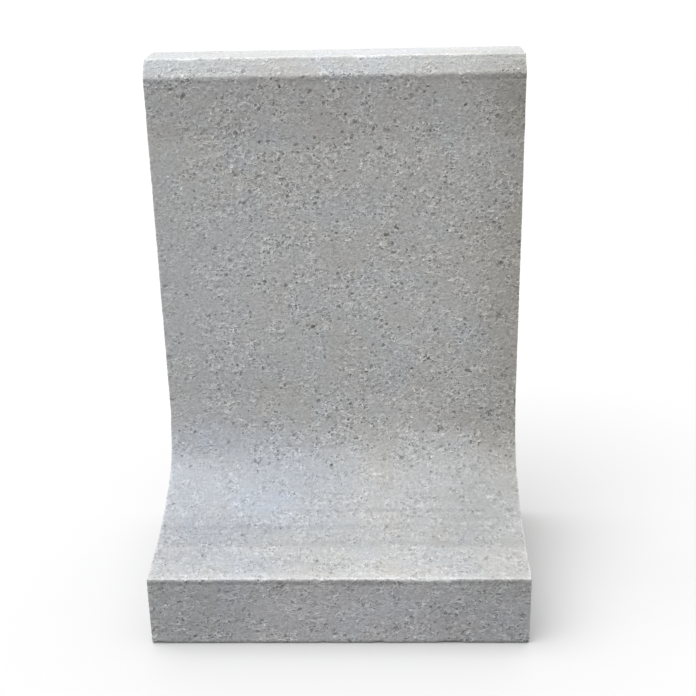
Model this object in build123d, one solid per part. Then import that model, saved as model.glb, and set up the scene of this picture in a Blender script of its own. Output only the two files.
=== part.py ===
from build123d import *
import math
import os

# L-shaped cast concrete block: an upright wall on a projecting foot, with a
# swept inside corner that thickens the root of the wall.
# Frame: origin at the middle of the base, on the ground. +X runs across the
# block, -Y is the way the foot points, +Z is up. Millimetres.

# Overall sizes
block_width = 300
block_height = 435
foot_reach = 150
wall_thickness = 60
toe_height = 60

# Inside corner, from the toe up to the wall: a level strip, a long shallow arc,
# a tight throat and an easing arc that ends on the upright face
toe_strip = 15
throat_radius = 32
wall_sweep_radius = 130
throat_start_angle = 29
throat_end_angle = 67
upright_angle = 90

# Bevels along both arrises of the top
bevel_height = 13
bevel_depth = 11

# Cast rounding of the outer corners of the section
toe_arris_radius = 2
base_arris_radius = 2

# Planes of the section
section_depth = foot_reach + wall_thickness
toe_plane = -section_depth / 2
back_plane = section_depth / 2
wall_plane = toe_plane + foot_reach


def sine(angle):
    """Sine of an angle given in degrees."""
    return math.sin(math.radians(angle))


def foot_sweep_radius():
    """Radius that carries the shallow arc from the level strip to the throat."""
    throat_run = throat_radius * (sine(throat_end_angle) - sine(throat_start_angle))
    wall_run = wall_sweep_radius * (sine(upright_angle) - sine(throat_end_angle))
    foot_run = foot_reach - toe_strip - throat_run - wall_run
    return foot_run / sine(throat_start_angle)


def section():
    """The closed L section, drawn in the YZ plane."""
    throat_turn = throat_end_angle - throat_start_angle
    wall_turn = upright_angle - throat_end_angle
    with BuildSketch(Plane.YZ) as sketch:
        with BuildLine():
            toe = Line((toe_plane, 0), (toe_plane, toe_height))
            strip = Line(toe @ 1, (toe_plane + toe_strip, toe_height))
            foot_sweep = JernArc(strip @ 1, strip % 1, foot_sweep_radius(), throat_start_angle)
            throat = JernArc(foot_sweep @ 1, foot_sweep % 1, throat_radius, throat_turn)
            wall_sweep = JernArc(throat @ 1, throat % 1, wall_sweep_radius, wall_turn)
            Polyline(
                wall_sweep @ 1,
                (wall_plane, block_height),
                (back_plane, block_height),
                (back_plane, 0),
                toe @ 0,
            )
        make_face()
    return sketch.sketch


def arris(solid, y, z):
    """The long edge of the solid that runs across the block at one corner of the section."""
    corner = Vector(0, y, z)
    along = solid.edges().filter_by(Axis.X)
    return along.sort_by(lambda edge: (edge.center() - corner).length)[0]


def bevel_top(solid):
    """Bevels the front and back arrises of the top, less in depth than in height."""
    top = solid.faces().sort_by(Axis.Z)[-1]
    edges = [arris(solid, wall_plane, block_height), arris(solid, back_plane, block_height)]
    return chamfer(edges, bevel_depth, length2=bevel_height, reference=top)


def round_corners(solid):
    """Rounds the toe's upper arris, and the two arrises that stand on the ground."""
    rounded = fillet(arris(solid, toe_plane, toe_height), toe_arris_radius)
    base_edges = [arris(rounded, toe_plane, 0), arris(rounded, back_plane, 0)]
    return fillet(base_edges, base_arris_radius)


def l_block():
    """The whole casting: the section run across the width, then bevelled and rounded."""
    casting = extrude(section(), amount=block_width / 2, both=True)
    return round_corners(bevel_top(casting))


def main():
    os.makedirs("parts", exist_ok=True)
    block = l_block()
    block.label = "l_block"
    export_step(block, "parts/l_block.step")


if __name__ == "__main__":
    main()
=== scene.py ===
import logging
import math
import random
from dataclasses import dataclass
from enum import Enum

import bmesh
import bpy
from mathutils import Matrix, Vector, geometry, kdtree, noise


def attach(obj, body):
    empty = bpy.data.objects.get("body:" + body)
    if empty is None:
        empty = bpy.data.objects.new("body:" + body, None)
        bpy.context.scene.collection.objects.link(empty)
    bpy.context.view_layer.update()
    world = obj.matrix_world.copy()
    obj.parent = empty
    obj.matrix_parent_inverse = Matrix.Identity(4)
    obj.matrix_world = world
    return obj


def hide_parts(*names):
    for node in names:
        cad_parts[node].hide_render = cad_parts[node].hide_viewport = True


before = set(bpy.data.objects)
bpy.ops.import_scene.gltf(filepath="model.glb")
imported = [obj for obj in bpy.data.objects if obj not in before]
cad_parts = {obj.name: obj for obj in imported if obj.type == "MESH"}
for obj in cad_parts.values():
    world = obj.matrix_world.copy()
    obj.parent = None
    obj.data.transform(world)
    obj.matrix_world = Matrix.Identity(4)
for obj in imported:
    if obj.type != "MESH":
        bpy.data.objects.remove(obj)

LOG = logging.getLogger("l_block")
NODE = "l_block"
MM = 0.001

Colour = tuple[float, float, float, float]
Place = tuple[float, float, float]


# Sizes of the casting


@dataclass(frozen=True)
class BlockSizes:
    """Sizes of the casting in metres and radians, the same as the solid's."""

    width: float = 0.300
    height: float = 0.435
    foot_reach: float = 0.150
    wall_thickness: float = 0.060
    toe_height: float = 0.060
    toe_strip: float = 0.015
    throat_radius: float = 0.032
    wall_sweep_radius: float = 0.130
    throat_start: float = math.radians(29)
    throat_end: float = math.radians(67)
    upright: float = math.radians(90)
    bevel_height: float = 0.013
    bevel_depth: float = 0.011
    toe_arris_radius: float = 0.002
    base_arris_radius: float = 0.002

    @property
    def toe_plane(self) -> float:
        """Y of the toe's upright face."""
        return -(self.foot_reach + self.wall_thickness) / 2

    @property
    def back_plane(self) -> float:
        """Y of the plain back."""
        return (self.foot_reach + self.wall_thickness) / 2

    @property
    def wall_plane(self) -> float:
        """Y of the wall's inner face."""
        return self.toe_plane + self.foot_reach

    @property
    def bevel_foot(self) -> float:
        """Z of the lower arris of the top bevels."""
        return self.height - self.bevel_height

    @property
    def foot_sweep_radius(self) -> float:
        """Works out the radius that carries the shallow arc from the level strip to the throat.

        Returns:
            The radius.
        """
        throat_run = self.throat_radius * (math.sin(self.throat_end) - math.sin(self.throat_start))
        wall_run = self.wall_sweep_radius * (math.sin(self.upright) - math.sin(self.throat_end))
        foot_run = self.foot_reach - self.toe_strip - throat_run - wall_run
        return foot_run / math.sin(self.throat_start)


class Side(Enum):
    """The sides of the casting that the mould leaves differently."""

    WALL = "wall"
    FOOT = "foot"
    TOE = "toe"
    TOP = "top"
    BACK = "back"
    BASE = "base"
    END = "end"


@dataclass(frozen=True)
class Pitting:
    """How many voids the mould leaves on one side, and how large they are.

    Voids are counted for each square millimetre, and a size of 1 is the usual one.
    """

    count: float
    size: float


@dataclass(frozen=True)
class Void:
    """One open void at the surface, in metres."""

    place: Vector
    radius: float
    depth: float
    along: Vector
    stretch: float


@dataclass(frozen=True)
class SeenPit:
    """One of the larger pits that stand out on the faces. Millimetres and degrees.

    Attributes:
        across: X of its middle.
        up: Z of its middle.
        lean: How far its length leans over from level.
    """

    side: Side
    across: float
    up: float
    radius: float
    stretch: float = 1.15
    lean: float = 20.0


SEEN_PIT_DEPTH = 1.5
SEEN_PITS = (
    SeenPit(Side.WALL, -23.0, 212.0, 2.0),
    SeenPit(Side.WALL, 35.2, 363.2, 1.8),
    SeenPit(Side.WALL, -118.9, 407.3, 1.5, 2.2, 55.0),
    SeenPit(Side.WALL, 47.1, 232.0, 1.4),
    SeenPit(Side.WALL, 39.3, 237.2, 1.4),
    SeenPit(Side.WALL, 44.1, 246.4, 1.3),
    SeenPit(Side.WALL, 49.0, 296.8, 1.4),
    SeenPit(Side.WALL, 40.0, 291.5, 1.5, 1.6, 0.0),
    SeenPit(Side.WALL, -93.5, 259.0, 1.4, 1.5, 60.0),
    SeenPit(Side.WALL, 8.3, 390.9, 1.3),
    SeenPit(Side.WALL, -31.4, 367.2, 1.3, 1.6, 10.0),
    SeenPit(Side.WALL, -1.1, 293.7, 1.3),
    SeenPit(Side.WALL, -44.7, 248.6, 1.3),
    SeenPit(Side.WALL, 60.5, 172.8, 1.3),
    SeenPit(Side.WALL, 70.5, 407.5, 1.2),
    SeenPit(Side.WALL, 102.8, 397.0, 1.2),
    SeenPit(Side.TOE, -30.6, 31.7, 1.5),
    SeenPit(Side.TOE, -125.1, 38.8, 1.3, 1.5, 0.0),
    SeenPit(Side.TOE, -10.8, 17.5, 1.3),
)


@dataclass(frozen=True)
class Wear:
    """The mesh of the form, and the relief that is cut into it. Metres, radians and cycles a metre.

    Attributes:
        lattice: Width of a cell of the plain form's mesh.
        weld: Distance within which two points of the outline are one.
        snap: Distance within which a cut of the lattice takes a point that is there.
        arris_angle: Least turn between two faces that counts as an arris.
        arris_mesh: Longest edge at an arris.
        arris_band: How far from an arris a chip reaches.
        void_mesh_share: Longest edge in a void, as a share of its radius.
        void_mesh_least: Longest edge in the smallest voids.
        void_margin: How far round a void the mesh is as fine.
        coarse_share: How much longer than wanted an edge may be.
        fold_angle: Turn between two faces that counts as a fold.
        sharp_angle: Turn between two faces that is shaded sharp.
        arris_least: Least depth that an arris is worn.
        arris_most: Usual largest depth that an arris is worn.
        finer_pitch: Pitch of the finer crumbling, as a multiple of the coarser one's.
        finer_weight: Weight of the finer crumbling.
        chip_level: Value of the chips' pattern from which there is a chip.
        chip_gain: Depth of a full chip, as a multiple of the usual one.
        void_ragged: How much the outline of a void wanders, as a share of its radius.
        void_ragged_pitch: Pitch of that wandering.
        void_bowl: Power of the void's section, from 0.5 for a round bowl to 1 for a shallow one.
        upward_highlight_band: Z of the normal where a worn arris starts to show pale, and fully does. Keeping
            the pale to the upward parts of an arris paints a highlight where the top light falls, over the
            real wear.
        shown_end: How much wear shows pale on the ends.
        shown_gain: How soon it shows.
    """

    lattice: float = 6.5 * MM
    weld: float = 0.01 * MM
    snap: float = 0.6 * MM
    corner_segments: int = 3
    arris_angle: float = math.radians(18)
    arris_mesh: float = 1.8 * MM
    arris_band: float = 2.4 * MM
    void_mesh_share: float = 0.55
    void_mesh_least: float = 0.58 * MM
    void_margin: float = 0.30 * MM
    coarse_share: float = 1.45
    refine_rounds: int = 5
    fold_angle: float = math.radians(120)
    ease_rounds: int = 12
    ease_factor: float = 0.5
    sharp_angle: float = math.radians(38)
    ripple_depth: float = 0.18 * MM
    ripple_length: float = 70.0 * MM
    sand_depth: float = 0.05 * MM
    sand_length: float = 4.0 * MM
    arris_least: float = 0.10 * MM
    arris_most: float = 0.75 * MM
    arris_length: float = 5.0 * MM
    finer_pitch: float = 2.6
    finer_weight: float = 0.5
    chip_depth: float = 1.6 * MM
    chip_length: float = 16.0 * MM
    chip_level: float = 0.30
    chip_gain: float = 1.6
    chip_offset: Place = (5.0, 1.0, 3.0)
    void_ragged: float = 0.45
    void_ragged_pitch: float = 620.0
    void_bowl: float = 0.6
    # Pale worn arrises show only on upward parts: real wear, and a painted highlight where the top light
    # falls.
    upward_highlight_band: tuple[float, float] = (0.3, 0.65)
    shown_end: float = 0.5
    shown_gain: float = 0.6


@dataclass(frozen=True)
class Scatter:
    """How the scattered voids crowd and vary. Pitches are in cycles a metre, and the rest are shares.

    Attributes:
        crowd_least: Least crowding, as a multiple of the usual count.
        crowd_most: Most crowding that is tried for.
        wide_weight: How much the wide clusters matter.
        near_weight: How much the tight clusters matter.
        size_usual: Usual radius, in millimetres.
        size_spread: Spread of the radius's logarithm.
        size_range: Least and largest radius, in millimetres.
        depth_range: Least and largest depth, as shares of the radius.
        stretch_range: Least and largest length, as shares of the width.
    """

    crowd_least: float = 0.05
    crowd_most: float = 2.5
    wide_pitch: float = 22.0
    wide_weight: float = 0.8
    near_pitch: float = 61.0
    near_weight: float = 0.6
    size_usual: float = 1.05
    size_spread: float = 0.30
    size_range: tuple[float, float] = (0.80, 2.1)
    depth_range: tuple[float, float] = (0.75, 1.4)
    stretch_range: tuple[float, float] = (1.0, 1.7)

    def crowding(self, place: Vector) -> float:
        """Says how crowded the voids are at a place.

        Args:
            place: The place.

        Returns:
            The crowding, as a multiple of the usual count.
        """
        wide = self.wide_weight * noise.noise(place * self.wide_pitch)
        near = self.near_weight * noise.noise(place * self.near_pitch)
        return max(self.crowd_least, 1.0 + wide + near)

    def radius(self, draw: random.Random, size: float) -> float:
        """Draws the radius of a void.

        Args:
            draw: Where the chance comes from.
            size: How large voids are there, where 1 is the usual size.

        Returns:
            The radius, in metres.
        """
        least, most = self.size_range
        drawn = self.size_usual * math.exp(self.size_spread * draw.gauss(0.0, 1.0))
        return MM * size * min(most, max(least, drawn))


PITTING: dict[Side, Pitting] = {
    Side.WALL: Pitting(2.3e-3, 1.0),
    Side.FOOT: Pitting(1.2e-3, 0.9),
    Side.TOE: Pitting(2.3e-3, 0.95),
    Side.TOP: Pitting(1.3e-3, 0.9),
    Side.BACK: Pitting(1.3e-3, 1.05),
    Side.BASE: Pitting(0.3e-3, 1.2),
    Side.END: Pitting(2.1e-3, 1.1),
}

# Least part of a face's unit normal along an axis for it to look that way
FACING = 0.7
FACING_UP = 0.6


class OutlinePen:
    """Draws the outline of the section as a chain of edges, from its tip onwards."""

    def __init__(self, bm: bmesh.types.BMesh, start: Vector) -> None:
        """Sets the pen down.

        Args:
            bm: Mesh that takes the outline.
            start: First point of the outline.
        """
        self.bm = bm
        self.tip = bmesh.ops.create_vert(bm, co=start)["vert"][0]
        self.heading = 0.0

    def line_to(self, y: float, z: float) -> None:
        """Draws a straight stretch.

        Args:
            y: Y of its far end.
            z: Z of its far end.
        """
        grown = bmesh.ops.extrude_vert_indiv(self.bm, verts=[self.tip])
        self.tip = grown["verts"][0]
        self.tip.co = Vector((self.tip.co.x, y, z))

    def arc(self, radius: float, turn: float, step: float) -> None:
        """Draws an arc that leaves along the pen's heading and turns upwards.

        Args:
            radius: Radius of the arc.
            turn: Angle that it turns through.
            step: Length of one chord, at most.
        """
        across = Vector((0.0, -math.sin(self.heading), math.cos(self.heading)))
        spun = bmesh.ops.spin(
            self.bm,
            geom=[self.tip],
            cent=self.tip.co + across * radius,
            axis=(1.0, 0.0, 0.0),
            angle=turn,
            steps=math.ceil(radius * turn / step),
        )
        self.tip = next(g for g in spun["geom_last"] if isinstance(g, bmesh.types.BMVert))
        self.heading += turn


@dataclass
class CastBlock:
    """The whole block: one casting with its section, voids and worn arrises."""

    sizes: BlockSizes
    wear: Wear
    scatter: Scatter
    seed: int = 7

    def draw_section(self, bm: bmesh.types.BMesh) -> None:
        """Draws the section as one face on the left end.

        Args:
            bm: Empty mesh that takes the face.
        """
        s, left = self.sizes, -self.sizes.width / 2
        pen = OutlinePen(bm, Vector((left, s.toe_plane, 0.0)))
        pen.line_to(s.toe_plane, s.toe_height)
        pen.line_to(s.toe_plane + s.toe_strip, s.toe_height)
        pen.arc(s.foot_sweep_radius, s.throat_start, self.wear.lattice)
        pen.arc(s.throat_radius, s.throat_end - s.throat_start, self.wear.lattice / 2)
        pen.arc(s.wall_sweep_radius, s.upright - s.throat_end, self.wear.lattice)
        for y, z in (
            (s.wall_plane, s.bevel_foot),
            (s.wall_plane + s.bevel_depth, s.height),
            (s.back_plane - s.bevel_depth, s.height),
            (s.back_plane, s.bevel_foot),
            (s.back_plane, 0.0),
            (s.toe_plane, 0.0),
        ):
            pen.line_to(y, z)
        bmesh.ops.remove_doubles(bm, verts=bm.verts[:], dist=self.wear.weld)
        bmesh.ops.contextual_create(bm, geom=bm.edges[:])

    def round_corner(self, bm: bmesh.types.BMesh, y: float, z: float, radius: float) -> None:
        """Rounds one corner of the section.

        Args:
            bm: Mesh that holds the section's face.
            y: Y of the corner.
            z: Z of the corner.
            radius: Radius of the rounding.
        """
        corner = min(bm.verts, key=lambda v: (v.co.y - y) ** 2 + (v.co.z - z) ** 2)
        bmesh.ops.bevel(
            bm,
            geom=[corner],
            offset=radius,
            offset_type="OFFSET",
            segments=self.wear.corner_segments,
            profile=0.5,
            affect="VERTICES",
            material=-1,
        )

    def cut_lattice(self, bm: bmesh.types.BMesh) -> None:
        """Cuts the section's face into cells.

        Args:
            bm: Mesh that holds the section's face.
        """
        s = self.sizes
        bevels = (s.wall_plane + s.bevel_depth, s.back_plane - s.bevel_depth)
        depths = (s.toe_plane, s.wall_plane, *bevels, s.back_plane)
        heights = (0.0, s.toe_height, s.bevel_foot, s.height)
        for axis, planes in ((Vector((0.0, 1.0, 0.0)), depths), (Vector((0.0, 0.0, 1.0)), heights)):
            for place in self.stations(planes):
                bmesh.ops.bisect_plane(
                    bm,
                    geom=bm.verts[:] + bm.edges[:] + bm.faces[:],
                    dist=self.wear.snap,
                    plane_co=axis * place,
                    plane_no=axis,
                )
        bmesh.ops.connect_verts_concave(bm, faces=bm.faces[:])

    def stations(self, planes: tuple[float, ...]) -> list[float]:
        """Spaces cuts evenly between planes that each keep a cut.

        Args:
            planes: Places of the planes, in rising order.

        Returns:
            The places of the inner cuts, in rising order.
        """
        cuts: list[float] = []
        for low, high in zip(planes, planes[1:]):
            count = max(1, round((high - low) / self.wear.lattice))
            cuts += [low + (high - low) * i / count for i in range(count)]
        return cuts[1:]

    def run_across(self, bm: bmesh.types.BMesh) -> None:
        """Runs the section across the width and divides the run.

        Args:
            bm: Mesh that holds the section's cells.
        """
        swept = bmesh.ops.extrude_face_region(bm, geom=bm.faces[:], use_keep_orig=True)
        moved = [g for g in swept["geom"] if isinstance(g, bmesh.types.BMVert)]
        width = self.sizes.width
        bmesh.ops.translate(bm, verts=moved, vec=Vector((width, 0.0, 0.0)))
        runs = [e for e in bm.edges if abs(e.verts[0].co.x - e.verts[1].co.x) > width / 2]
        cuts = round(width / self.wear.lattice) - 1
        bmesh.ops.subdivide_edges(bm, edges=runs, cuts=cuts, use_grid_fill=True)
        bmesh.ops.recalc_face_normals(bm, faces=bm.faces[:])
        bmesh.ops.triangulate(bm, faces=bm.faces[:], quad_method="ALTERNATE", ngon_method="EAR_CLIP")

    def side_of(self, place: Vector, normal: Vector) -> Side:
        """Says which side of the casting a point is on.

        Args:
            place: The point.
            normal: Outward normal there.

        Returns:
            The side.
        """
        s = self.sizes
        if abs(normal.x) > FACING:
            return Side.END
        if normal.z < -FACING:
            return Side.BASE
        if place.z > s.bevel_foot - MM:
            return Side.TOP
        if normal.y > FACING:
            return Side.BACK
        if place.y < s.toe_plane + MM:
            return Side.TOE
        return Side.FOOT if normal.z > FACING_UP else Side.WALL

    @staticmethod
    def read_outline(bm: bmesh.types.BMesh) -> list[Vector]:
        """Reads the section's outline off its one face.

        Args:
            bm: Mesh that holds the face.

        Returns:
            The outline's points, from the toe's foot upwards and round by the back.
        """
        points = [vert.co.copy() for vert in bm.faces[:][0].verts]
        swept = sum(a.y * b.z - b.y * a.z for a, b in zip(points, points[1:] + points[:1]))
        if swept > 0.0:
            points.reverse()
        first = min(range(len(points)), key=lambda i: (round(points[i].y, 6), points[i].z))
        return points[first:] + points[:first]

    def skin(self, outline: list[Vector]) -> list[tuple[Vector, Vector, Vector, Vector]]:
        """Covers the plain form with large triangles, for scattering on.

        Args:
            outline: The section's outline at the left end.

        Returns:
            Three corners and the outward normal of each triangle.
        """
        right = Vector((1.0, 0.0, 0.0))
        across = right * self.sizes.width
        triangles = []
        for a, b in zip(outline, outline[1:] + outline[:1]):
            normal = right.cross(b - a).normalized()
            triangles += [(a, b, b + across, normal), (a, b + across, a + across, normal)]
        for i, j, k in geometry.tessellate_polygon([outline]):
            a, b, c = outline[i], outline[j], outline[k]
            triangles += [(a, b, c, -right), (a + across, b + across, c + across, right)]
        return triangles

    def scatter_voids(self, outline: list[Vector]) -> list[Void]:
        """Scatters voids over every side, in loose clusters.

        Args:
            outline: The section's outline at the left end.

        Returns:
            The voids.
        """
        draw, scatter = random.Random(self.seed), self.scatter
        voids: list[Void] = []
        for p, q, r, normal in self.skin(outline):
            area = geometry.area_tri(p, q, r)
            pitting = PITTING[self.side_of((p + q + r) / 3, normal)]
            tries = pitting.count * scatter.crowd_most * area / MM**2
            for _ in range(int(tries) + (draw.random() < tries % 1.0)):
                a, b = sorted((draw.random(), draw.random()))
                place = p * a + q * (b - a) + r * (1.0 - b)
                if draw.random() * scatter.crowd_most > scatter.crowding(place):
                    continue
                radius = scatter.radius(draw, pitting.size)
                along = normal.orthogonal().normalized()
                along.rotate(Matrix.Rotation(draw.uniform(0.0, math.tau), 3, normal))
                voids.append(
                    Void(
                        place=place,
                        radius=radius,
                        depth=radius * draw.uniform(*scatter.depth_range),
                        along=along,
                        stretch=draw.uniform(*scatter.stretch_range),
                    )
                )
        return voids + self.seen_voids()

    def seen_voids(self) -> list[Void]:
        """The pits that are placed one by one, on the upright faces that look forward.

        Returns:
            The voids.
        """
        planes = {Side.WALL: self.sizes.wall_plane, Side.TOE: self.sizes.toe_plane}
        voids: list[Void] = []
        for pit in SEEN_PITS:
            lean = math.radians(pit.lean)
            voids.append(
                Void(
                    place=Vector((pit.across * MM, planes[pit.side], pit.up * MM)),
                    radius=pit.radius * MM,
                    depth=pit.radius * SEEN_PIT_DEPTH * MM,
                    along=Vector((math.cos(lean), 0.0, math.sin(lean))),
                    stretch=pit.stretch,
                )
            )
        return voids

    def arris_tree(self, bm: bmesh.types.BMesh) -> kdtree.KDTree:
        """Gathers points along every arris of the plain form.

        Args:
            bm: Mesh of the plain form.

        Returns:
            A search tree of the points.
        """
        points: list[Vector] = []
        for edge in bm.edges:
            if edge.calc_face_angle(0.0) > self.wear.arris_angle:
                start, end = (v.co for v in edge.verts)
                parts = max(1, math.ceil(edge.calc_length() / self.wear.arris_mesh))
                points += [start.lerp(end, i / parts) for i in range(parts + 1)]
        return self.tree_of(points)

    @staticmethod
    def tree_of(points: list[Vector]) -> kdtree.KDTree:
        """Builds a search tree.

        Args:
            points: Points that it holds.

        Returns:
            The balanced tree.
        """
        tree = kdtree.KDTree(len(points))
        for index, point in enumerate(points):
            tree.insert(point, index)
        tree.balance()
        return tree

    def refine(self, bm: bmesh.types.BMesh, voids: list[Void], arrises: kdtree.KDTree) -> None:
        """Divides the mesh where a void or an arris needs it.

        Args:
            bm: Mesh of the plain form, in triangles.
            voids: Voids that are cut later.
            arrises: Points along the arrises.
        """
        w = self.wear
        middles = self.tree_of([void.place for void in voids])
        reach = max(void.radius * void.stretch for void in voids) + w.void_margin
        for _ in range(w.refine_rounds):
            cut = {edge for edge in bm.edges if self.is_coarse(edge, voids, middles, reach, arrises)}
            if not cut:
                break
            grown = cut
            while grown:
                faces = {face for edge in grown for face in edge.link_faces}
                halfway = [face for face in faces if sum(edge in cut for edge in face.edges) == 2]
                grown = {edge for face in halfway for edge in face.edges} - cut
                cut |= grown
            bm.edges.index_update()
            edges = sorted(cut, key=lambda edge: edge.index)
            bmesh.ops.subdivide_edges(bm, edges=edges, cuts=1, use_grid_fill=True, use_single_edge=True)

    def is_coarse(
        self,
        edge: bmesh.types.BMEdge,
        voids: list[Void],
        middles: kdtree.KDTree,
        reach: float,
        arrises: kdtree.KDTree,
    ) -> bool:
        """Says whether an edge is too long for the voids and arrises near it.

        Args:
            edge: The edge.
            voids: Voids that are cut later.
            middles: Middles of the voids.
            reach: How far the largest void reaches.
            arrises: Points along the arrises.

        Returns:
            Whether it has to be divided.
        """
        w = self.wear
        length = edge.calc_length()
        if length < w.void_mesh_least * w.coarse_share:
            return False
        middle = (edge.verts[0].co + edge.verts[1].co) / 2
        wanted = w.lattice * 2
        if arrises.find(middle)[2] < w.arris_band + length / 3:
            wanted = w.arris_mesh
        for _, index, gap in middles.find_range(middle, reach + length / 2):
            void = voids[index]
            if gap < void.radius * void.stretch + w.void_margin + length / 2:
                wanted = min(wanted, max(w.void_mesh_least, void.radius * w.void_mesh_share))
        return length > wanted * w.coarse_share

    def weather(self, bm: bmesh.types.BMesh, voids: list[Void], arrises: kdtree.KDTree) -> None:
        """Cuts the voids, the worn arrises and the faint ripple of the mould into the form.

        Every cut goes inwards, so the casting stays inside its plain form.

        Args:
            bm: Refined mesh of the form.
            voids: Voids to cut.
            arrises: Points along the arrises.
        """
        w = self.wear
        # The void layer drives the dark colour in the hollows: dirt and painted shade.
        hollow = bm.verts.layers.float.new("void")
        worn = bm.verts.layers.float.new("worn")
        bm.normal_update()
        bm.verts.ensure_lookup_table()
        normals = [v.normal.copy() for v in bm.verts]
        plain = [v.co.copy() for v in bm.verts]
        cuts = [0.0] * len(plain)
        for index, place in enumerate(plain):
            ripple = w.ripple_depth * (1.0 + noise.noise(place / w.ripple_length)) / 2
            sand = w.sand_depth * (1.0 + noise.noise(place / w.sand_length)) / 2
            gap = arrises.find(place)[2]
            edge = max(0.0, 1.0 - gap / w.arris_mesh)
            loss = self.arris_loss(place, gap)
            cuts[index] = ripple + sand + loss
            # The worn layer holds pale wear on the arrises, and on their upward parts also a painted
            # highlight.
            shown = self.pale_wear_and_highlight(normals[index])
            bm.verts[index][worn] = shown * min(1.0, w.shown_gain * (edge + loss / w.arris_most))
        tree = self.tree_of(plain)
        for void in voids:
            self.cut_void(void, tree, plain, normals, cuts, bm, hollow)
        for vert, normal, depth in zip(bm.verts, normals, cuts):
            vert.co -= normal * depth

    def arris_loss(self, place: Vector, gap: float) -> float:
        """Works out how much is worn and chipped off near an arris.

        Args:
            place: The point.
            gap: How far it is from the arris.

        Returns:
            The depth that is lost there.
        """
        w = self.wear
        coarser = abs(noise.noise(place / w.arris_length))
        finer = abs(noise.noise(place / w.arris_length * w.finer_pitch))
        crumble = coarser + w.finer_weight * finer
        worn = max(0.0, 1.0 - gap / w.arris_mesh) * (w.arris_least + (w.arris_most - w.arris_least) * crumble)
        chip = max(0.0, noise.noise(place / w.chip_length + Vector(w.chip_offset)) - w.chip_level)
        chip *= w.chip_gain * w.chip_depth / (1.0 - w.chip_level)
        return worn + max(0.0, 1.0 - gap / w.arris_band) * chip

    def pale_wear_and_highlight(self, normal: Vector) -> float:
        """Says how pale a worn arris shows on a face, from 0 to 1: real wear, and on its upward parts also a
        painted highlight where the top light falls.

        Args:
            normal: Outward normal of the face.

        Returns:
            The share.
        """
        low, high = self.wear.upward_highlight_band
        upward = min(1.0, (normal.z - low) / (high - low))
        return max(0.0, upward, self.wear.shown_end * abs(normal.x))

    def ease_folds(self, bm: bmesh.types.BMesh) -> int:
        """Smooths the few points where deep cuts from both faces of an arris cross.

        Args:
            bm: Mesh of the form, after the cuts.

        Returns:
            How many edges were folded before the last round.
        """
        folds: list[bmesh.types.BMEdge] = []
        for _ in range(self.wear.ease_rounds):
            bm.normal_update()
            folds = [edge for edge in bm.edges if edge.calc_face_angle(0.0) > self.wear.fold_angle]
            verts = list(dict.fromkeys(vert for edge in folds for vert in edge.verts))
            bmesh.ops.smooth_vert(
                bm,
                verts=verts,
                factor=self.wear.ease_factor,
                use_axis_x=True,
                use_axis_y=True,
                use_axis_z=True,
            )
        return len(folds)

    def cut_void(
        self,
        void: Void,
        tree: kdtree.KDTree,
        plain: list[Vector],
        normals: list[Vector],
        cuts: list[float],
        bm: bmesh.types.BMesh,
        hollow: bmesh.types.BMLayerItem,
    ) -> None:
        """Adds the depth of one void at the points that lie in it.

        Args:
            void: The void.
            tree: Search tree of the points.
            plain: Places of the points before any cut.
            normals: Outward normals of the points.
            cuts: Depth that is cut at each point, which this adds to.
            bm: Mesh of the form.
            hollow: Layer that keeps how deep in a void each point is.
        """
        for place, index, _ in tree.find_range(void.place, void.radius * void.stretch):
            away = place - void.place
            lengthwise = away.dot(void.along)
            crosswise = math.sqrt(max(0.0, away.length_squared - lengthwise**2))
            ragged = 1.0 + self.wear.void_ragged * noise.noise(plain[index] * self.wear.void_ragged_pitch)
            share = math.hypot(lengthwise / void.stretch, crosswise) / (void.radius * ragged)
            if share < 1.0:
                bowl = (1.0 - share**2) ** self.wear.void_bowl
                cuts[index] = max(cuts[index], void.depth * bowl)
                bm.verts[index][hollow] = max(bm.verts[index][hollow], bowl)

    def build(self) -> bpy.types.Object:
        """Builds the casting.

        Returns:
            The finished piece, at the origin.
        """
        s = self.sizes
        bm = bmesh.new()
        self.draw_section(bm)
        self.round_corner(bm, s.toe_plane, s.toe_height, s.toe_arris_radius)
        self.round_corner(bm, s.toe_plane, 0.0, s.base_arris_radius)
        self.round_corner(bm, s.back_plane, 0.0, s.base_arris_radius)
        outline = self.read_outline(bm)
        self.cut_lattice(bm)
        self.run_across(bm)
        LOG.info("plain form: %d faces", len(bm.faces))
        arrises = self.arris_tree(bm)
        voids = self.scatter_voids(outline)
        self.refine(bm, voids, arrises)
        self.weather(bm, voids, arrises)
        LOG.info("folds left at the arrises: %d", self.ease_folds(bm))
        LOG.info("casting: %d voids, %d faces", len(voids), len(bm.faces))
        for face in bm.faces:
            face.smooth = True
        bm.normal_update()
        for edge in bm.edges:
            edge.smooth = edge.calc_face_angle(0.0) < self.wear.sharp_angle
        mesh = bpy.data.meshes.new("cast_block")
        bm.to_mesh(mesh)
        bm.free()
        piece = bpy.data.objects.new("cast_block", mesh)
        bpy.context.scene.collection.objects.link(piece)
        return piece


# Finish of the concrete


Socket = bpy.types.NodeSocket
Feed = Socket | float | Place | Colour

FLOAT = "NodeSocketFloat"
VECTOR = "NodeSocketVector"

# Sockets of a Mix node in its colour form: the share and the two colours, and the result
MIX_INPUTS = (0, 6, 7)
MIX_OUTPUT = 2

# Mean value of a noise pattern
NOISE_MEAN = 0.5


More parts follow.
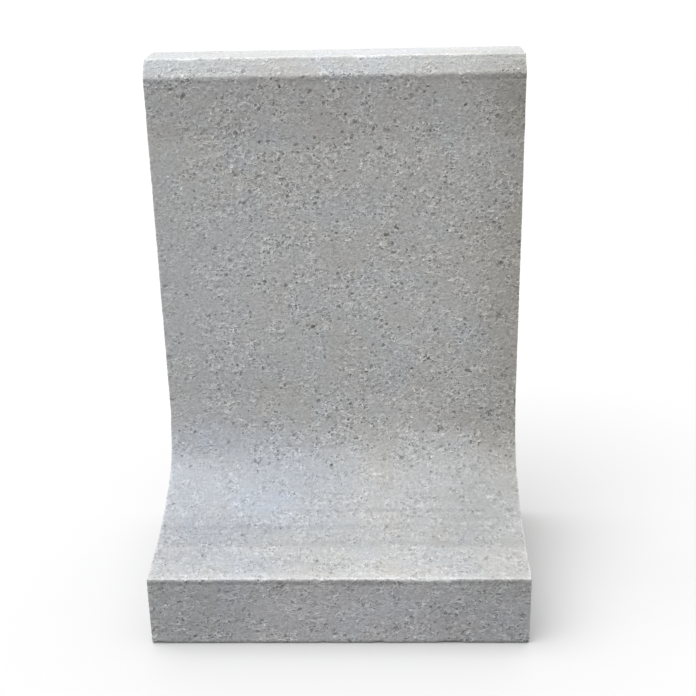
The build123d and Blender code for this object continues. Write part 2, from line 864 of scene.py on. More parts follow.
@dataclass
class NodeSheet:
    """A node tree that is being filled in."""

    tree: bpy.types.NodeTree

    def add(self, kind: str, **settings: object) -> bpy.types.Node:
        """Adds a node.

        Args:
            kind: Its Blender type.
            settings: Its properties.

        Returns:
            The node.
        """
        node = self.tree.nodes.new(kind)
        for name, value in settings.items():
            setattr(node, name, value)
        return node

    def feed(self, socket: Socket, value: Feed) -> None:
        """Links or sets one input.

        Args:
            socket: The input.
            value: An output socket to link, or a plain value.
        """
        if isinstance(value, Socket):
            self.tree.links.new(value, socket)
        else:
            socket.default_value = value

    def fill(self, node: bpy.types.Node, values: dict[str, Feed]) -> bpy.types.Node:
        """Links or sets inputs of a node by name.

        Args:
            node: The node.
            values: The name of each input, with a socket to link or a plain value.

        Returns:
            The node.
        """
        for name, value in values.items():
            self.feed(node.inputs[name], value)
        return node

    def math(self, operation: str, *values: Feed, clamp: bool = False) -> Socket:
        """Adds a Math node.

        Args:
            operation: What it does.
            values: Its inputs, in order.
            clamp: Whether its result stays between 0 and 1.

        Returns:
            Its output.
        """
        node = self.add("ShaderNodeMath", operation=operation, use_clamp=clamp)
        for socket, value in zip(node.inputs, values):
            self.feed(socket, value)
        return node.outputs[0]

    def pile(self, base: Feed, *terms: tuple[Socket, Feed]) -> Socket:
        """Adds up values, each times its weight.

        Args:
            base: What they are added to.
            terms: Each value with its weight.

        Returns:
            The sum.
        """
        total = base
        for value, weight in terms:
            total = self.math("MULTIPLY_ADD", value, weight, total)
        return total

    def ramp(
        self, value: Socket, low: Feed, high: float, to_low: float = 0.0, to_high: float = 1.0
    ) -> Socket:
        """Adds a clamped Map Range node.

        Args:
            value: What it maps.
            low: Lower end of the range read.
            high: Upper end of the range read.
            to_low: What the lower end becomes.
            to_high: What the upper end becomes.

        Returns:
            Its output.
        """
        node = self.add("ShaderNodeMapRange", interpolation_type="SMOOTHSTEP")
        self.fill(node, {"Value": value, "From Min": low, "From Max": high})
        self.fill(node, {"To Min": to_low, "To Max": to_high})
        return node.outputs["Result"]

    def mix(self, share: Feed, first: Feed, second: Feed, blend: str = "MIX") -> Socket:
        """Adds a colour Mix node.

        Args:
            share: How much of the second colour shows.
            first: First colour.
            second: Second colour.
            blend: Blend type.

        Returns:
            Its output.
        """
        node = self.add("ShaderNodeMix", data_type="RGBA", blend_type=blend)
        for index, value in zip(MIX_INPUTS, (share, first, second)):
            self.feed(node.inputs[index], value)
        return node.outputs[MIX_OUTPUT]

    def vector(self, operation: str, first: Feed, second: Feed = (0.0, 0.0, 0.0)) -> bpy.types.Node:
        """Adds a Vector Math node of two vectors.

        Args:
            operation: What it does.
            first: First vector.
            second: Second vector, where the operation has one.

        Returns:
            The node.
        """
        node = self.add("ShaderNodeVectorMath", operation=operation)
        self.feed(node.inputs[0], first)
        self.feed(node.inputs[1], second)
        return node

    def scale(self, vector: Socket, factor: Feed) -> Socket:
        """Adds a Vector Math node that scales a vector.

        Args:
            vector: The vector.
            factor: What it is multiplied by.

        Returns:
            The scaled vector.
        """
        node = self.add("ShaderNodeVectorMath", operation="SCALE")
        return self.fill(node, {"Vector": vector, "Scale": factor}).outputs["Vector"]

    def warp(self, vector: Socket, size: float, reach: Feed) -> Socket:
        """Pushes coordinates about, so that what they carry gets ragged.

        Args:
            vector: Coordinates, in millimetres.
            size: Size of the pushes, in millimetres.
            reach: How far they push, in millimetres.

        Returns:
            The warped coordinates.
        """
        field = self.add("ShaderNodeTexNoise")
        self.fill(field, {"Vector": vector, "Scale": 1.0 / size, "Detail": 1.0})
        centred = self.vector("SUBTRACT", field.outputs["Color"], (NOISE_MEAN,) * 3).outputs["Vector"]
        return self.vector("ADD", vector, self.scale(centred, reach)).outputs["Vector"]


@dataclass(frozen=True)
class Cloud:
    """One cloudy noise pattern. Millimetres.

    Attributes:
        size: Size of its largest features.
        detail: Number of octaves.
        roughness: How strong the finer octaves are.
        offset: How far it is moved, so that it doesn't repeat another.
    """

    size: float
    detail: float
    roughness: float
    offset: Place = (0.0, 0.0, 0.0)

    def draw(self, sheet: NodeSheet, where: Socket) -> Socket:
        """Adds the pattern.

        Args:
            sheet: The tree it goes in.
            where: Coordinates, in millimetres.

        Returns:
            Its value, about one half on average.
        """
        moved = sheet.vector("ADD", where, self.offset).outputs["Vector"]
        node = sheet.add("ShaderNodeTexNoise")
        sheet.fill(node, {"Vector": moved, "Scale": 1.0 / self.size})
        sheet.fill(node, {"Detail": self.detail, "Roughness": self.roughness})
        return node.outputs["Fac"]

    def centred(self, sheet: NodeSheet, where: Socket) -> Socket:
        """Adds the pattern, about zero on average.

        Args:
            sheet: The tree it goes in.
            where: Coordinates, in millimetres.

        Returns:
            Its value.
        """
        return sheet.math("SUBTRACT", self.draw(sheet, where), NOISE_MEAN)


@dataclass(frozen=True)
class Specks:
    """Round specks in some of the cells of a pattern. Millimetres.

    Attributes:
        spacing: Distance between cells.
        radius: Largest radius of a speck.
        kept: Share of the cells that hold one.
        offset: How far the pattern is moved, so that it doesn't repeat another.
        fade_share: Share of the radius over which a speck fades in.
        lip_share: Width of the lip round a speck, as a share of the radius.
        lipped_shares: Shares of the radius from which a speck starts to have a lip, and has all of it.
    """

    spacing: float
    radius: float
    kept: float
    offset: Place = (0.0, 0.0, 0.0)
    fade_share: float = 0.50
    lip_share: float = 0.45
    lipped_shares: tuple[float, float] = (0.15, 0.50)

    def draw(self, sheet: NodeSheet, where: Socket) -> tuple[Socket, Socket]:
        """Adds the specks.

        Args:
            sheet: The tree they go in.
            where: Coordinates, in millimetres.

        Returns:
            A mask that is 1 in the middle of a speck, and one of the lip around it.
        """
        largest = self.radius / self.spacing
        moved = sheet.vector("ADD", where, self.offset).outputs["Vector"]
        cells = sheet.add("ShaderNodeTexVoronoi", feature="F1")
        sheet.fill(cells, {"Vector": moved, "Scale": 1.0 / self.spacing})
        parts = sheet.add("ShaderNodeSeparateColor")
        sheet.feed(parts.inputs[0], cells.outputs["Color"])
        size = sheet.ramp(parts.outputs[0], 1.0 - self.kept, 1.0, 0.0, largest)
        inside = sheet.math("SUBTRACT", size, cells.outputs["Distance"])
        core = sheet.ramp(inside, 0.0, self.fade_share * largest)
        lip = sheet.ramp(inside, -self.lip_share * largest, 0.0)
        lipped = sheet.ramp(size, *(share * largest for share in self.lipped_shares))
        return core, sheet.math("SUBTRACT", sheet.math("MULTIPLY", lip, lipped), core, clamp=True)


def new_group(
    name: str, inputs: dict[str, str], outputs: dict[str, str]
) -> tuple[NodeSheet, bpy.types.Node, bpy.types.Node]:
    """Starts a shader node group.

    Args:
        name: Its name.
        inputs: Name and socket type of each input.
        outputs: Name and socket type of each output.

    Returns:
        Its sheet, its Group Input node and its Group Output node.
    """
    tree = bpy.data.node_groups.new(name, "ShaderNodeTree")
    for way, sockets in (("INPUT", inputs), ("OUTPUT", outputs)):
        for socket, kind in sockets.items():
            tree.interface.new_socket(name=socket, in_out=way, socket_type=kind)
    sheet = NodeSheet(tree)
    return sheet, sheet.add("NodeGroupInput"), sheet.add("NodeGroupOutput")


def new_material(name: str) -> tuple[bpy.types.Material, NodeSheet]:
    """Starts an empty material.

    Args:
        name: Its name.

    Returns:
        The material and its sheet.
    """
    material = bpy.data.materials.new(name)
    material.use_nodes = True
    material.node_tree.nodes.clear()
    return material, NodeSheet(material.node_tree)


@dataclass(frozen=True)
class SandGrain:
    """Sand in the skin: grain, curled ridges, dark pinholes with a lip and pale grains. Millimetres.

    Attributes:
        loose: Pattern of where the skin is loose and sandy.
        loose_band: Values of that pattern where it starts to be loose, and is fully loose.
        close_share: How sandy it still is where the skin is close.
        ridge_width: Half width of a ridge, in values of its pattern.
        ragged_size: Size of the pushes that make the specks ragged.
        ragged_reach: How far they push.
        open_tone: What loose skin adds to the tone, which makes up for its pinholes.
        base_tone: What the tone starts from.
    """

    fine: Cloud = Cloud(1.9, 2.5, 0.65)
    coarse: Cloud = Cloud(3.3, 1.0, 0.5, (5.0, 83.0, 37.0))
    curl: Cloud = Cloud(6.6, 1.0, 0.5, (47.0, 3.0, 91.0))
    loose: Cloud = Cloud(13.0, 2.0, 0.6)
    tiny: Specks = Specks(2.8, 1.30, 0.70)
    small: Specks = Specks(4.4, 2.10, 0.65, (13.0, 43.0, 5.0))
    pale: Specks = Specks(3.5, 1.65, 0.75, (31.0, 17.0, 53.0))
    loose_band: tuple[float, float] = (0.38, 0.60)
    close_share: float = 0.20
    ridge_width: float = 0.055
    ragged_size: float = 2.6
    ragged_reach: float = 2.8
    coarse_tone: float = 1.40
    ridge_tone: float = 0.23
    # Dark pinholes: partly dirt, partly painted shade inside pores too small for the mesh.
    pinhole_tone: float = -0.34
    lip_tone: float = 0.32
    pale_tone: float = 0.40
    open_tone: float = 0.030
    base_tone: float = -0.040
    fine_height: float = 0.50
    coarse_height: float = 1.35
    ridge_height: float = 0.42
    pinhole_height: float = -1.15
    pale_height: float = 0.50

    def build(self) -> bpy.types.NodeTree:
        """Builds the group.

        Returns:
            The group. It puts out a tone, about zero on average, and a height in millimetres.
        """
        sheet, start, end = new_group(
            "sand_grain",
            {"Vector": VECTOR, "Grain": FLOAT, "Relief": FLOAT, "Openness": FLOAT, "Paleness": FLOAT},
            {"Tone": FLOAT, "Height": FLOAT},
        )
        where = start.outputs["Vector"]
        loose = sheet.ramp(self.loose.draw(sheet, where), *self.loose_band, self.close_share)
        loose = sheet.math("MULTIPLY", loose, start.outputs["Relief"])
        sandy = sheet.ramp(loose, 0.0, 1.0, self.close_share)
        fine = self.fine.centred(sheet, where)
        coarse = sheet.math("MULTIPLY", self.coarse.centred(sheet, where), sandy)
        curl = sheet.math("ABSOLUTE", self.curl.centred(sheet, where))
        ridge = sheet.math("MULTIPLY", sheet.ramp(curl, 0.0, self.ridge_width, 1.0, 0.0), sandy)

        ragged = sheet.warp(where, self.ragged_size, self.ragged_reach)
        openness = sheet.math("MULTIPLY", start.outputs["Openness"], loose)
        tiny, tiny_lip = self.tiny.draw(sheet, ragged)
        small, small_lip = self.small.draw(sheet, ragged)
        pinhole = sheet.math("MULTIPLY", sheet.math("MAXIMUM", tiny, small), openness, clamp=True)
        lip = sheet.math("MULTIPLY", sheet.math("MAXIMUM", tiny_lip, small_lip), openness, clamp=True)
        pale, _ = self.pale.draw(sheet, ragged)
        pale = sheet.math("MULTIPLY", sheet.math("MULTIPLY", pale, sandy), start.outputs["Paleness"])

        tone = sheet.pile(
            self.base_tone,
            (sheet.pile(fine, (coarse, self.coarse_tone)), start.outputs["Grain"]),
            (ridge, self.ridge_tone),
            (pinhole, self.pinhole_tone),
            (lip, self.lip_tone),
            (pale, self.pale_tone),
            (openness, self.open_tone),
        )
        height = sheet.pile(
            0.0,
            (fine, self.fine_height),
            (coarse, self.coarse_height),
            (ridge, self.ridge_height),
            (pinhole, self.pinhole_height),
            (pale, self.pale_height),
        )
        sheet.fill(end, {"Tone": tone, "Height": height})
        return sheet.tree


@dataclass(frozen=True)
class DryingMottle:
    """Patches a hand wide where the mix dried cooler, warmer, paler or darker.

    Attributes:
        band: Values of the cool and warm patterns where a patch starts, and is full.
    """

    cool: Cloud = Cloud(55.0, 2.5, 0.6)
    warm: Cloud = Cloud(48.0, 2.5, 0.6, (140.0, 60.0, 90.0))
    tone: Cloud = Cloud(90.0, 3.0, 0.55, (140.0, 60.0, 90.0))
    band: tuple[float, float] = (0.45, 0.70)

    def build(self) -> bpy.types.NodeTree:
        """Builds the group.

        Returns:
            The group. It puts out two masks, and a tone about zero on average.
        """
        sheet, start, end = new_group(
            "drying_mottle", {"Vector": VECTOR}, {"Cool": FLOAT, "Warm": FLOAT, "Tone": FLOAT}
        )
        where = start.outputs["Vector"]
        cool = sheet.ramp(self.cool.draw(sheet, where), *self.band)
        warm = sheet.ramp(self.warm.draw(sheet, where), *self.band)
        sheet.fill(end, {"Cool": cool, "Warm": warm, "Tone": self.tone.centred(sheet, where)})
        return sheet.tree


@dataclass(frozen=True)
class DragMarks:
    """Fine marks that run across the block, left as it was drawn from its mould.

    Attributes:
        drawn_out: What the coordinates are multiplied by, which draws the marks out along X.
    """

    marks: Cloud = Cloud(2.4, 2.0, 0.6)
    drawn_out: Place = (0.035, 1.0, 1.0)

    def build(self) -> bpy.types.NodeTree:
        """Builds the group.

        Returns:
            The group. It puts out one value, about zero on average.
        """
        sheet, start, end = new_group("drag_marks", {"Vector": VECTOR}, {"Mark": FLOAT})
        along = sheet.vector("MULTIPLY", start.outputs["Vector"], self.drawn_out).outputs["Vector"]
        sheet.fill(end, {"Mark": self.marks.centred(sheet, along)})
        return sheet.tree


@dataclass(frozen=True)
class SoftPatch:
    """One soft, ragged patch about a centre.

    Attributes:
        ragged_size: Size of the pushes that make its outline ragged, in millimetres.
    """

    ragged_size: float = 30.0

    def build(self) -> bpy.types.NodeTree:
        """Builds the group.

        Returns:
            The group. It puts out a mask, 1 in the middle of the patch.
        """
        sheet, start, end = new_group(
            "soft_patch",
            {"Vector": VECTOR, "Centre": VECTOR, "Reach": VECTOR, "Ragged": FLOAT, "Solid": FLOAT},
            {"Mask": FLOAT},
        )
        where = sheet.warp(start.outputs["Vector"], self.ragged_size, start.outputs["Ragged"])
        away = sheet.vector("SUBTRACT", where, start.outputs["Centre"]).outputs["Vector"]
        share = sheet.vector("DIVIDE", away, start.outputs["Reach"]).outputs["Vector"]
        span = sheet.vector("LENGTH", share).outputs["Value"]
        sheet.fill(end, {"Mask": sheet.ramp(span, start.outputs["Solid"], 1.0, 1.0, 0.0)})
        return sheet.tree


class Effects:
    """The surface effects of cast concrete, each a node group that is built once."""

    def __init__(self) -> None:
        """Builds the groups."""
        self.sand = SandGrain().build()
        self.mottle = DryingMottle().build()
        self.drag = DragMarks().build()
        self.patch = SoftPatch().build()


@dataclass(frozen=True, kw_only=True)
class Patch:
    """A soft, ragged patch of the faces. Millimetres.

    Attributes:
        ragged: How far its outline wanders.
        solid: Share of its reach that it covers in full.
    """

    centre: Place
    reach: Place
    ragged: float = 22.0
    solid: float = 0.25

    def mask(self, sheet: NodeSheet, effects: Effects, where: Socket) -> Socket:
        """Adds the group that draws the patch.

        Args:
            sheet: The tree it goes in.
            effects: The shared node groups.
            where: Coordinates, in millimetres.

        Returns:
            Its mask, 1 in the middle of the patch.
        """
        group = sheet.add("ShaderNodeGroup", node_tree=effects.patch)
        sheet.fill(group, {"Vector": where, "Centre": self.centre, "Reach": self.reach})
        sheet.fill(group, {"Ragged": self.ragged, "Solid": self.solid})
        return group.outputs["Mask"]


@dataclass(frozen=True, kw_only=True)
class TintPatch(Patch):
    """A patch where the colour is multiplied by a tint: real stains, and in a few places painted shade and
    painted light.
    """

    tint: Colour


@dataclass(frozen=True, kw_only=True)
class Calm(Patch):
    """A patch where the skin is closer and the sand shows less, by a share."""

    share: float


def grey(level: float) -> Colour:
    """A grey of one level, where 1 leaves a tone as it is."""
    return (level, level, level, 1.0)


WIDE = 420.0
ENDLESS = 2000.0

CALMS = (
    Calm(centre=(-150.0, 45.0, 260.0), reach=(52.0, 60.0, 180.0), share=0.55),
    Calm(centre=(-125.0, 25.0, 108.0), reach=(60.0, 55.0, 60.0), share=0.50),
    Calm(centre=(0.0, -112.0, 30.0), reach=(WIDE, 30.0, 90.0), share=0.20),
    Calm(centre=(0.0, 66.0, 431.0), reach=(WIDE, 62.0, 16.0), share=0.45, ragged=8.0),
)

TOP_TINTS = (
    TintPatch(
        centre=(0.0, 45.0, 397.0),
        reach=(ENDLESS, 58.0, 29.0),
        tint=(0.92, 0.91, 0.91, 1.0),
        ragged=6.0,
        solid=0.75,
    ),
    TintPatch(
        centre=(0.0, 45.0, 423.0),
        reach=(ENDLESS, 58.0, 50.0),
        tint=(0.96, 0.965, 0.975, 1.0),
        ragged=6.0,
        solid=0.0,
    ),
    # Painted shadow: a dark line just under the lower arris of the top bevel.
    TintPatch(centre=(0.0, 44.0, 418.4), reach=(WIDE, 8.0, 3.2), tint=grey(0.88), ragged=1.2),
    # Painted highlight: a pale line along the lower arris of the top bevel.
    TintPatch(centre=(0.0, 46.0, 423.0), reach=(WIDE, 5.0, 3.0), tint=grey(1.15), ragged=1.0),
    TintPatch(centre=(0.0, 54.5, 433.2), reach=(WIDE, 3.6, 2.6), tint=grey(0.90), ragged=1.0),
    # Painted light: the level top and its bevels made paler where the top light falls.
    TintPatch(centre=(0.0, 75.0, 436.0), reach=(WIDE, 70.0, 18.0), tint=(1.14, 1.15, 1.16, 1.0), ragged=6.0),
    TintPatch(centre=(120.0, 50.0, 430.0), reach=(95.0, 40.0, 22.0), tint=(0.93, 0.93, 0.915, 1.0)),
    TintPatch(centre=(-115.0, 50.0, 430.0), reach=(95.0, 40.0, 20.0), tint=(1.01, 1.02, 1.02, 1.0)),
    TintPatch(centre=(0.0, 50.0, 428.5), reach=(WIDE, 8.0, 9.0), tint=(0.96, 0.965, 0.97, 1.0), ragged=2.0),
)
WALL_TINTS = (
    TintPatch(centre=(172.0, 35.0, 250.0), reach=(84.0, 90.0, 330.0), tint=(0.84, 0.81, 0.76, 1.0)),
    TintPatch(centre=(140.0, 45.0, 405.0), reach=(42.0, 30.0, 48.0), tint=(0.90, 0.885, 0.86, 1.0)),
    TintPatch(centre=(-110.0, 45.0, 240.0), reach=(75.0, 40.0, 140.0), tint=(1.01, 1.02, 1.05, 1.0)),
    TintPatch(centre=(-20.0, 45.0, 250.0), reach=(190.0, 30.0, 110.0), tint=grey(1.04)),
    # Painted shade: a darker band low on the wall, where it begins to sweep into the foot.
    TintPatch(centre=(0.0, 42.0, 129.0), reach=(WIDE, 14.0, 15.0), tint=grey(0.94), ragged=6.0),
    TintPatch(centre=(130.0, 42.0, 132.0), reach=(85.0, 30.0, 26.0), tint=grey(0.91), ragged=10.0),
)
FOOT_TINTS = (
    TintPatch(centre=(-115.0, -10.0, 92.0), reach=(175.0, 120.0, 66.0), tint=(0.935, 0.98, 1.075, 1.0)),
    TintPatch(centre=(60.0, -25.0, 84.0), reach=(190.0, 95.0, 55.0), tint=(0.97, 0.985, 1.01, 1.0)),
    TintPatch(centre=(140.0, 30.0, 102.0), reach=(42.0, 32.0, 26.0), tint=grey(0.94)),
    TintPatch(centre=(130.0, -40.0, 75.0), reach=(85.0, 95.0, 60.0), tint=(0.88, 0.875, 0.87, 1.0)),
    TintPatch(centre=(-105.0, -40.0, 67.0), reach=(90.0, 26.0, 18.0), tint=(0.87, 0.87, 0.875, 1.0), ragged=14.0),
    TintPatch(centre=(-128.0, -66.0, 62.0), reach=(66.0, 22.0, 14.0), tint=(0.92, 0.92, 0.925, 1.0), ragged=8.0),
    TintPatch(centre=(-100.0, -82.0, 61.0), reach=(120.0, 22.0, 14.0), tint=(0.93, 0.93, 0.94, 1.0), ragged=10.0),
    TintPatch(centre=(-110.0, -90.0, 60.0), reach=(70.0, 32.0, 14.0), tint=(0.985, 1.0, 1.02, 1.0)),
    # Partly pale wear, partly a painted highlight: the front strip and the toe's top arris made paler.
    TintPatch(centre=(0.0, -100.0, 60.0), reach=(WIDE, 7.0, 8.0), tint=grey(1.08), ragged=2.5),
)
DRAG_STAINS = (
    TintPatch(centre=(40.0, -19.0, 72.0), reach=(160.0, 3.0, 14.0), tint=(0.93, 0.93, 0.935, 1.0), ragged=6.0),
    TintPatch(centre=(100.0, -27.0, 69.0), reach=(80.0, 5.0, 14.0), tint=(0.91, 0.91, 0.915, 1.0), ragged=5.0),
    TintPatch(centre=(-10.0, -37.0, 66.0), reach=(230.0, 5.0, 14.0), tint=(0.90, 0.905, 0.91, 1.0), ragged=5.0),
    TintPatch(centre=(20.0, -47.0, 64.0), reach=(WIDE, 9.0, 14.0), tint=grey(0.94), ragged=5.0),
    TintPatch(centre=(10.0, -56.5, 62.5), reach=(360.0, 7.0, 14.0), tint=grey(0.89), ragged=3.0),
)
TOE_TINTS = (
    TintPatch(centre=(10.0, -110.0, 30.0), reach=(190.0, 25.0, 60.0), tint=(0.98, 0.975, 1.015, 1.0)),
    TintPatch(centre=(-125.0, -110.0, 25.0), reach=(85.0, 30.0, 60.0), tint=(0.84, 0.85, 0.87, 1.0)),
    TintPatch(centre=(130.0, -110.0, 25.0), reach=(95.0, 40.0, 60.0), tint=(0.86, 0.86, 0.87, 1.0)),
    # Painted shadow: a dark line just under the toe's top arris.
    TintPatch(centre=(0.0, -106.0, 57.4), reach=(WIDE, 3.0, 5.0), tint=grey(0.62), ragged=1.0),
    TintPatch(centre=(0.0, -107.0, 48.0), reach=(WIDE, 8.0, 16.0), tint=grey(0.92), ragged=4.0),
    # Painted light: the toe made paler near the ground, against the shade that falls there.
    TintPatch(centre=(0.0, -107.0, 3.0), reach=(WIDE, 8.0, 10.0), tint=grey(1.06), ragged=3.0),
)
TINTS = TOP_TINTS + WALL_TINTS + FOOT_TINTS + DRAG_STAINS + TOE_TINTS


@dataclass(frozen=True)
class ConcreteFinish:
    """Sandy, light grey cast concrete.

    A pair holds a value for upright faces, and what is added to it where the face looks up.

    Attributes:
        upward_band: Z of the normal where a face starts to look up, and fully does.
        wear_and_highlight_share: How much of the fresh_and_highlight colour a worn arris shows. On its upward
            parts this is also a painted highlight.
        void_dirt_and_shade_share: How much of the dark colour the bottom of a void shows, dirt and painted
            shade together.
        drag_height: Height of the drag marks, in millimetres.
        mottle_roughness: How much the roughness follows the mottle.
    """

    name: str = "concrete"
    body: Colour = (0.476, 0.478, 0.473, 1.0)
    cool: Colour = (0.467, 0.480, 0.492, 1.0)
    warm: Colour = (0.474, 0.468, 0.452, 1.0)
    # Dark colour deep in the voids: dirt, and painted shade in the hollows.
    dirt_and_shade: Colour = (0.110, 0.108, 0.103, 1.0)
    # Pale colour of worn arrises: real wear, and on their upward parts also a painted highlight.
    fresh_and_highlight: Colour = (0.700, 0.700, 0.690, 1.0)
    roughness: float = 0.88
    specular: float = 0.30
    upward_band: tuple[float, float] = (0.35, 0.95)
    grain: tuple[float, float] = (0.72, -0.20)
    openness: tuple[float, float] = (1.0, -0.45)
    paleness: tuple[float, float] = (1.25, -0.20)
    mottle: tuple[float, float] = (0.10, 0.16)
    drag: tuple[float, float] = (0.12, 0.08)
    wear_and_highlight_share: float = 0.90
    void_dirt_and_shade_share: float = 0.13
    drag_height: float = 0.10
    mottle_roughness: float = 0.10

    def dress(self, piece: bpy.types.Object, effects: Effects) -> None:
        """Gives a piece this finish.

        Args:
            piece: The piece.
            effects: The shared node groups.
        """
        material, sheet = new_material(self.name)
        coords = sheet.add("ShaderNodeTexCoord")
        where = sheet.scale(coords.outputs["Object"], 1.0 / MM)
        facing = sheet.add("ShaderNodeSeparateXYZ")
        sheet.feed(facing.inputs[0], coords.outputs["Normal"])
        upward = sheet.ramp(facing.outputs["Z"], *self.upward_band)
        trees = (effects.sand, effects.mottle, effects.drag)
        sand, mottle, drag = (sheet.add("ShaderNodeGroup", node_tree=tree) for tree in trees)
        for group in (sand, mottle, drag):
            sheet.feed(group.inputs["Vector"], where)
        self.spread_sand(sheet, effects, sand, where, upward)

        tone = sheet.pile(
            sheet.math("ADD", sand.outputs["Tone"], 1.0),
            (mottle.outputs["Tone"], self.by_facing(sheet, upward, self.mottle)),
            (drag.outputs["Mark"], self.by_facing(sheet, upward, self.drag)),
        )
        bump = sheet.add("ShaderNodeBump")
        height = sheet.pile(sand.outputs["Height"], (drag.outputs["Mark"], self.drag_height))
        sheet.fill(bump, {"Strength": 1.0, "Distance": MM, "Height": height})
        change = (mottle.outputs["Tone"], self.mottle_roughness)
        rough = sheet.math("MULTIPLY_ADD", *change, self.roughness, clamp=True)

        shader = sheet.add("ShaderNodeBsdfPrincipled")
        shader.inputs["Specular IOR Level"].default_value = self.specular
        colour = self.lay_tints(sheet, effects, where, self.mix_body(sheet, mottle))
        colour = self.shade(sheet, colour, tone)
        sheet.fill(shader, {"Base Color": colour, "Roughness": rough, "Normal": bump.outputs["Normal"]})
        out = sheet.add("ShaderNodeOutputMaterial")
        sheet.feed(out.inputs["Surface"], shader.outputs[0])
        piece.data.materials.clear()
        piece.data.materials.append(material)

    @staticmethod
    def by_facing(sheet: NodeSheet, upward: Socket, pair: tuple[float, float]) -> Socket:
        """Adds a value that changes with the way a face looks.

        Args:
            sheet: The tree it goes in.
            upward: Mask of the faces that look up.
            pair: The value on upright faces, and what is added where they look up.

        Returns:
            The value.
        """
        upright, added = pair
        return sheet.math("MULTIPLY_ADD", upward, added, upright)

    def spread_sand(
        self, sheet: NodeSheet, effects: Effects, sand: bpy.types.Node, where: Socket, upward: Socket
    ) -> None:
        """Sets how sandy the skin is, less where a face looks up and in the calm patches.

        Args:
            sheet: The tree it goes in.
            effects: The shared node groups.
            sand: The placed sand group.
            where: Coordinates, in millimetres.
            upward: Mask of the faces that look up.
        """
        relief = sheet.pile(1.0, *((calm.mask(sheet, effects, where), -calm.share) for calm in CALMS))
        values = {"Relief": relief}
        for name, pair in (("Grain", self.grain), ("Openness", self.openness), ("Paleness", self.paleness)):
            values[name] = self.by_facing(sheet, upward, pair)
        sheet.fill(sand, values)

    def mix_body(self, sheet: NodeSheet, mottle: bpy.types.Node) -> Socket:
        """Mixes the body colour, cooler and warmer in places, and pale on the worn arrises. On their upward
        parts the pale is also a painted highlight.

        Args:
            sheet: The tree it goes in.
            mottle: The placed mottle group.

        Returns:
            The colour.
        """
        # Worn layer: pale wear, with a painted highlight on the upward parts of the arrises.
        worn = sheet.add("ShaderNodeAttribute", attribute_name="worn").outputs["Fac"]
        colour = sheet.mix(mottle.outputs["Cool"], self.body, self.cool)
        colour = sheet.mix(mottle.outputs["Warm"], colour, self.warm)
        return sheet.mix(sheet.math("MULTIPLY", worn, self.wear_and_highlight_share), colour, self.fresh_and_highlight)

    @staticmethod
    def lay_tints(sheet: NodeSheet, effects: Effects, where: Socket, colour: Socket) -> Socket:
        """Lays the tint patches over a colour: stains, and a few patches of painted shade and painted light.

        Args:
            sheet: The tree they go in.
            effects: The shared node groups.
            where: Coordinates, in millimetres.
            colour: The colour.

        Returns:
            The stained colour.
        """
        for patch in TINTS:
            mask = patch.mask(sheet, effects, where)
            colour = sheet.mix(mask, colour, sheet.mix(1.0, colour, patch.tint, "MULTIPLY"))
        return colour

    def shade(self, sheet: NodeSheet, colour: Socket, tone: Socket) -> Socket:
        """Lays the tone of the skin over a colour, and dirt with painted shade in the voids.

        Args:
            sheet: The tree they go in.
            colour: The colour.
            tone: What it is multiplied by.

        Returns:
            The finished colour.
        """
        levels = sheet.add("ShaderNodeCombineColor")
        for socket in levels.inputs:
            sheet.feed(socket, tone)
        colour = sheet.mix(1.0, colour, levels.outputs[0], "MULTIPLY")
        # Deeper in a void is darker: partly dirt, partly painted shade.
        void = sheet.add("ShaderNodeAttribute", attribute_name="void").outputs["Fac"]
        return sheet.mix(sheet.math("MULTIPLY", void, self.void_dirt_and_shade_share), colour, self.dirt_and_shade)


# Studio


@dataclass(frozen=True)
class Lamp:
    """A wide, soft lamp as far off as a sun. Angles are in degrees."""

    name: str
    level: float
    azimuth: float
    elevation: float
    spread: float
    distance: float = 2.0

    def hang(self) -> None:
        """Hangs the lamp. A level of 1 lights a surface that faces it as its colour is written."""
        light = bpy.data.lights.new(self.name, "SUN")
        light.energy = self.level * math.pi
        light.angle = math.radians(self.spread)
        lamp = bpy.data.objects.new(self.name, light)
        turn, lift = math.radians(self.azimuth), math.radians(self.elevation)
        towards = Vector((math.sin(turn) * math.cos(lift), -math.cos(turn) * math.cos(lift), math.sin(lift)))
        lamp.rotation_euler = towards.to_track_quat("Z", "Y").to_euler()
        lamp.location = towards * self.distance
        bpy.context.scene.collection.objects.link(lamp)


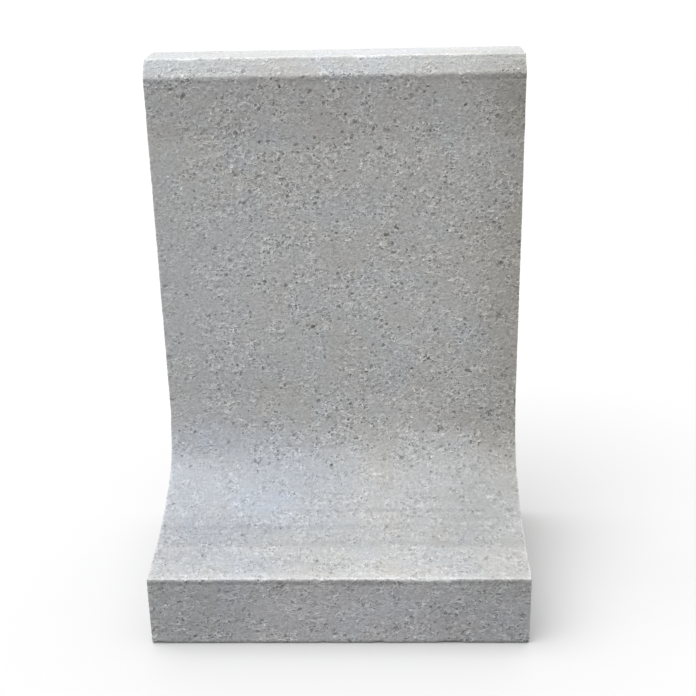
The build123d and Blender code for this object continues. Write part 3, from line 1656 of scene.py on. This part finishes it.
@dataclass(frozen=True)
class Studio:
    """Pale floor, soft lamps and the camera. Metres and degrees.

    Attributes:
        ambient: Strength of the white world, which the camera sees at full strength.
        floor_colour: Colour of the floor as it lights the block.
        floor_seen: Colour of the floor as the camera sees it.
        frame_pixels: Width of the picture that the focal length is given for.
        focal_pixels: Focal length, in pixels of that picture.
        zoom: How much narrower the view is than that picture.
    """

    lamps: tuple[Lamp, ...] = (
        Lamp("top_lamp", 0.57, 200.0, 80.0, 95.0),
        Lamp("side_lamp", 0.52, -70.0, 60.0, 60.0),
    )
    ambient: float = 0.55
    white: Colour = (1.0, 1.0, 1.0, 1.0)
    floor_colour: Colour = (0.36, 0.36, 0.36, 1.0)
    floor_seen: Colour = (0.66, 0.66, 0.66, 1.0)
    floor_size: float = 12.0
    floor_gap: float = 0.2 * MM
    sensor: float = 36.0
    frame_pixels: float = 696.0
    focal_pixels: float = 661.0
    zoom: float = 1.803
    camera_place: Place = (0.0410, -0.8935, 0.5727)
    pitch: float = 22.04
    yaw: float = -2.119
    roll: float = -1.313

    def light(self) -> None:
        """Hangs the lamps and sets the world, which the camera sees as white."""
        for lamp in self.lamps:
            lamp.hang()
        world = bpy.data.worlds.new("studio")
        world.use_nodes = True
        world.node_tree.nodes.clear()
        bpy.context.scene.world = world
        sheet = NodeSheet(world.node_tree)
        path = sheet.add("ShaderNodeLightPath")
        seen = sheet.math("MAXIMUM", path.outputs["Is Camera Ray"], path.outputs["Is Glossy Ray"])
        seen = sheet.math("MAXIMUM", seen, path.outputs["Is Transmission Ray"])
        strength = sheet.math("MULTIPLY_ADD", seen, 1.0 - self.ambient, self.ambient)
        back = sheet.add("ShaderNodeBackground")
        sheet.fill(back, {"Color": self.white, "Strength": strength})
        out = sheet.add("ShaderNodeOutputWorld")
        sheet.feed(out.inputs["Surface"], back.outputs[0])

    def lay_floor(self) -> None:
        """Lays a plain pale floor under the block."""
        bm = bmesh.new()
        bmesh.ops.create_grid(bm, x_segments=1, y_segments=1, size=self.floor_size / 2)
        bmesh.ops.translate(bm, verts=bm.verts[:], vec=Vector((0.0, 0.0, -self.floor_gap)))
        mesh = bpy.data.meshes.new("floor")
        bm.to_mesh(mesh)
        bm.free()
        floor = bpy.data.objects.new("floor", mesh)
        bpy.context.scene.collection.objects.link(floor)
        material, sheet = new_material("floor")
        shader = sheet.add("ShaderNodeBsdfDiffuse")
        seen = sheet.add("ShaderNodeLightPath").outputs["Is Camera Ray"]
        sheet.feed(shader.inputs["Color"], sheet.mix(seen, self.floor_colour, self.floor_seen))
        out = sheet.add("ShaderNodeOutputMaterial")
        sheet.feed(out.inputs["Surface"], shader.outputs[0])
        mesh.materials.append(material)

    def set_camera(self) -> None:
        """Stands the camera at the viewpoint, with a lens that fills the frame with the block."""
        data = bpy.data.cameras.new("camera")
        data.sensor_width = self.sensor
        data.lens = self.sensor * self.focal_pixels * self.zoom / self.frame_pixels
        camera = bpy.data.objects.new("camera", data)
        turn = Matrix.Rotation(math.radians(-self.yaw), 4, "Z")
        tilt = Matrix.Rotation(math.radians(90.0 - self.pitch), 4, "X")
        lean = Matrix.Rotation(math.radians(self.roll), 4, "Z")
        camera.matrix_world = Matrix.Translation(self.camera_place) @ turn @ tilt @ lean
        bpy.context.scene.collection.objects.link(camera)
        bpy.context.scene.camera = camera

    def set_up(self) -> None:
        """Sets up the whole studio."""
        bpy.context.scene.view_settings.view_transform = "Standard"
        self.set_camera()
        self.light()
        self.lay_floor()


def main() -> None:
    """Builds the block and the studio, and reports each piece."""
    logging.basicConfig(level=logging.INFO, format="%(message)s")
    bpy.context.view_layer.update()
    Studio().set_up()
    block = CastBlock(BlockSizes(), Wear(), Scatter()).build()
    ConcreteFinish().dress(block, Effects())
    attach(block, "root")
    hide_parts(NODE)


if __name__ == "__main__":
    main()
